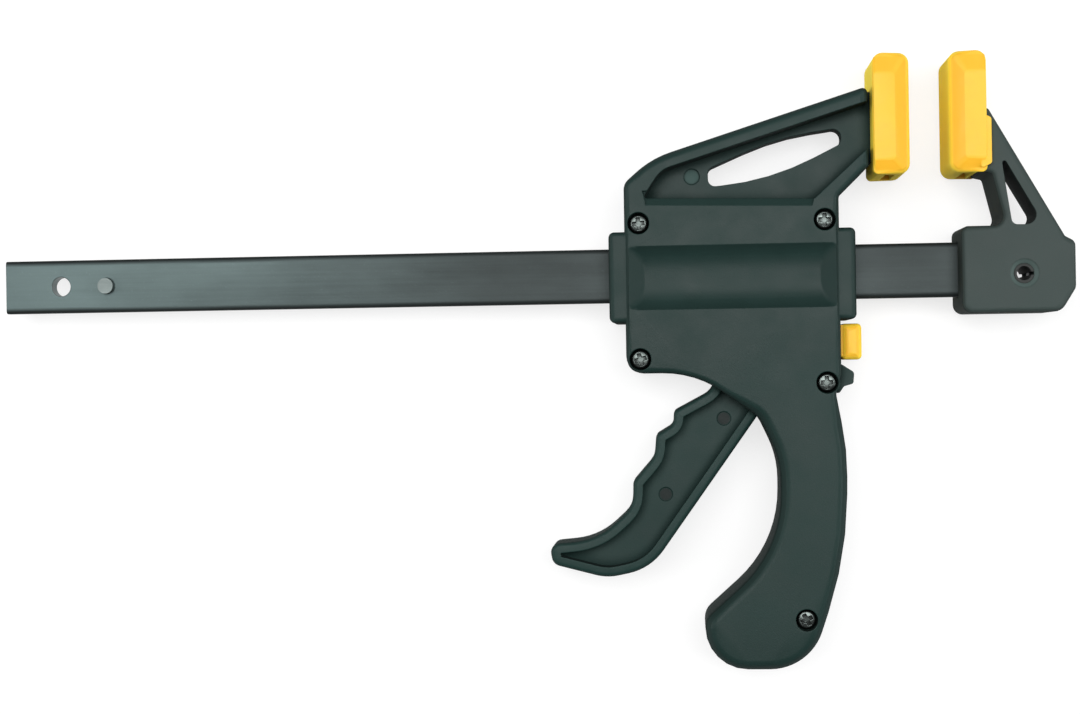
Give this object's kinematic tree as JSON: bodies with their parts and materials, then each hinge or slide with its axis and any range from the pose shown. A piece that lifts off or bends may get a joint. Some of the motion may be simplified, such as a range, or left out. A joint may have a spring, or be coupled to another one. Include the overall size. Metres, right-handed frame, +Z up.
{
  "type": "quick release bar clamp",
  "caption": "One-handed bar clamp: a flat steel bar with a fixed jaw slides through a pistol-grip housing with a moving jaw, a squeeze trigger and a release button.",
  "frame": {"origin": "on the bar's centre line, half way along the housing's body, on the lower (back) face that the clamp lies on", "axes": "+X along the bar towards the fixed jaw, +Y towards the tips of the jaws, +Z up out of the bench through the front face"},
  "size_m": [0.3379, 0.1893, 0.028],
  "materials": {
    "housing_plastic": "fine moulded grain",
    "trigger_plastic": "fine moulded grain",
    "jaw_plastic": "fine moulded grain",
    "pad_plastic": "soft satin",
    "button_plastic": "satin",
    "bar_steel": "dark phosphated, lightly rubbed",
    "pin_steel": "bright ground",
    "plate_steel": "plain hardened",
    "spring_steel": "drawn wire",
    "screw_steel": "black oxide, worn bright on the head"
  },
  "bodies": {
    "carriage": {"front_shell": "housing_plastic", "back_shell": "housing_plastic", "moving_jaw_pad": "pad_plastic", "trigger_pivot_pin": "pin_steel", "drive_spring": "spring_steel", "brake_spring": "spring_steel", "shell_screw_1": "screw_steel", "shell_screw_2": "screw_steel", "shell_screw_3": "screw_steel", "shell_screw_4": "screw_steel", "shell_screw_5": "screw_steel"},
    "bar_and_jaw": {"bar": "bar_steel", "fixed_jaw": "jaw_plastic", "fixed_jaw_pad": "pad_plastic", "jaw_roll_pin": "pin_steel", "bar_stop_pin": "pin_steel"},
    "trigger": {"trigger": "trigger_plastic"},
    "drive": {"drive_plate_1": "plate_steel", "drive_plate_2": "plate_steel"},
    "release": {"brake_lever": "plate_steel", "release_button": "button_plastic"}
  },
  "joints": [
    {"name": "bar_slide", "type": "slide", "parent": "carriage", "child": "bar_and_jaw", "axis": [1, 0, 0], "range_m": [-0.0117, 0.1594]},
    {"name": "trigger_pivot", "type": "hinge", "parent": "carriage", "child": "trigger", "pos_m": [0.004, -0.02535, 0], "axis": [0, 0, 1], "range_deg": [0, 18], "stiffness_Nm_per_rad": 0.22, "springref_deg": -25.78},
    {"name": "drive_slide", "type": "slide", "parent": "carriage", "child": "drive", "axis": [-1, 0, 0], "range_m": [0, 0.00376], "deforming": ["drive_spring"]},
    {"name": "release_lever", "type": "hinge", "parent": "carriage", "child": "release", "pos_m": [0.022, 0.0128, 0], "axis": [0, 0, -1], "range_deg": [0, 5], "stiffness_Nm_per_rad": 0.5, "springref_deg": -5.73, "deforming": ["brake_spring"]}
  ],
  "couplings": [
    {"joint": "drive_slide", "follows": "trigger_pivot", "m_per_rad": 0.011952}
  ]
}
